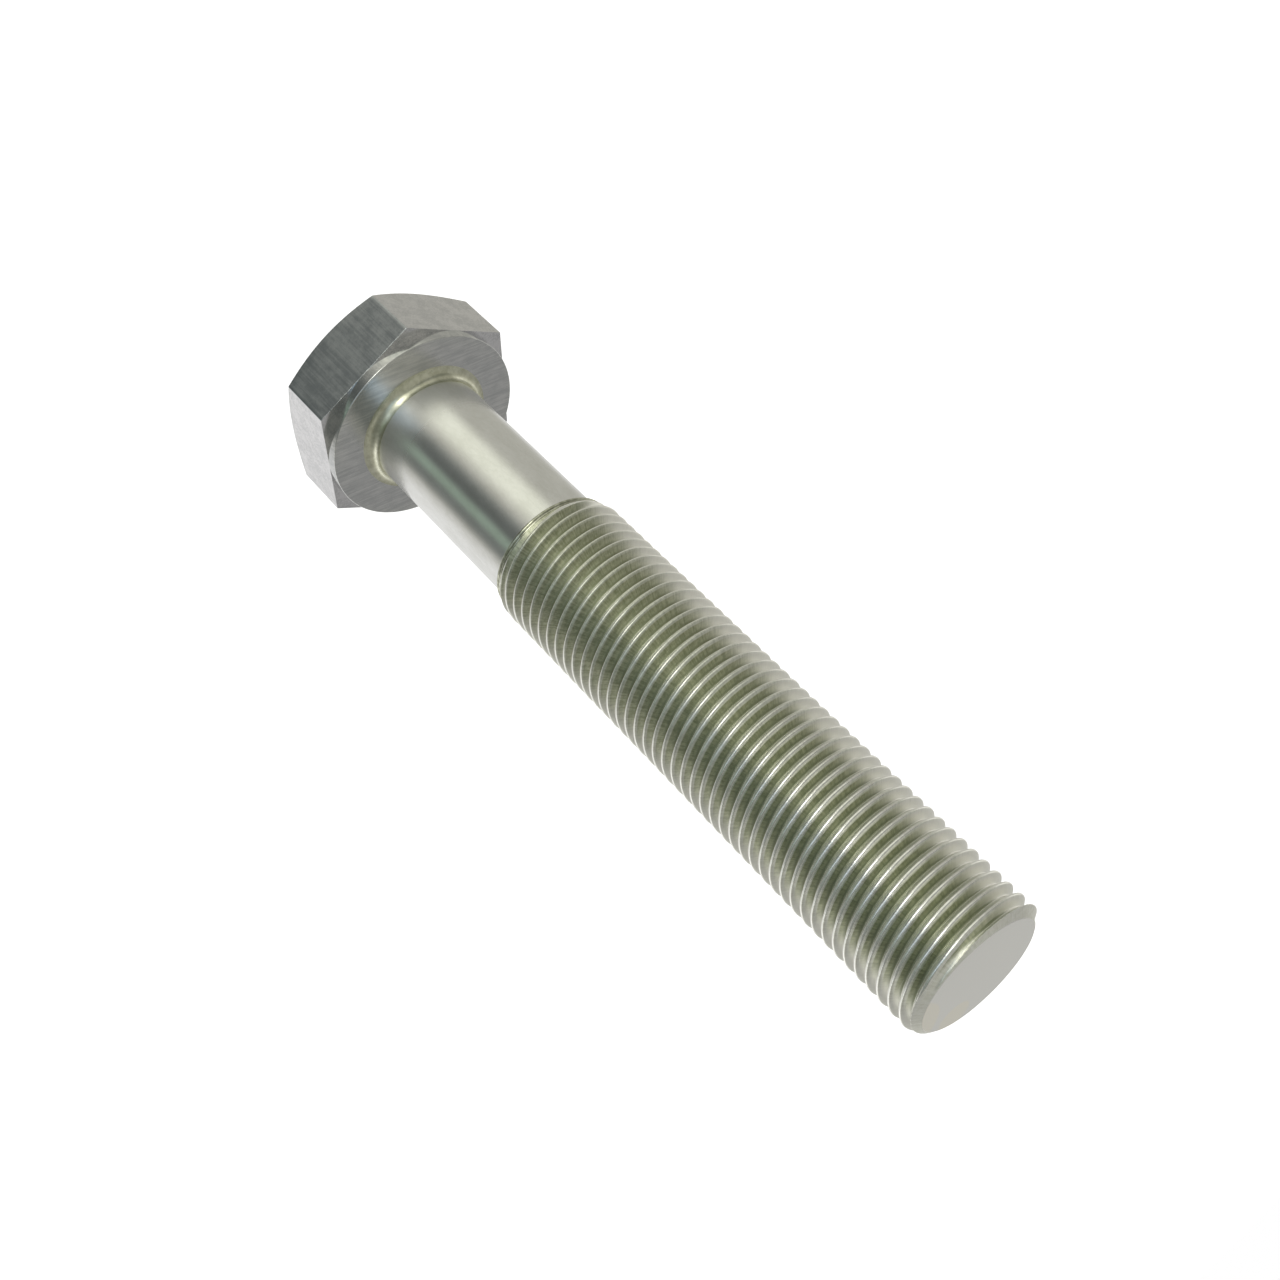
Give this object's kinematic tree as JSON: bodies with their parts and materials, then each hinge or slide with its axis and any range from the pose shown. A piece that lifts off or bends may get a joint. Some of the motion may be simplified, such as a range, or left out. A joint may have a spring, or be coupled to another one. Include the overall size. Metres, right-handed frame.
{
  "type": "hex bolt",
  "caption": "Hex-head bolt with a round washer face, a waisted plain shank and a fine, steeply climbing right-hand thread with a chamfered end.",
  "frame": {"origin": "centre of the bearing face under the head", "axes": "+Z along the bolt's axis from the head towards the threaded end; +Y square to one pair of wrench flats; +X through two corners of the hexagon"},
  "size_m": [0.0278, 0.024, 0.1],
  "materials": {
    "head_steel": "bright zinc plated, drawn flats",
    "bearing_steel": "bright zinc plated, fine turned marks",
    "shank_steel": "bright zinc plated, satin",
    "thread_steel": "bright zinc plated, faintly yellow-green in the grooves"
  },
  "bodies": {
    "root": {"hex_head": "head_steel", "washer_face": "bearing_steel", "neck_fillet": "bearing_steel", "shank": "shank_steel", "thread_shoulder": "thread_steel", "threaded_length": "thread_steel", "point": "thread_steel"}
  },
  "joints": []
}
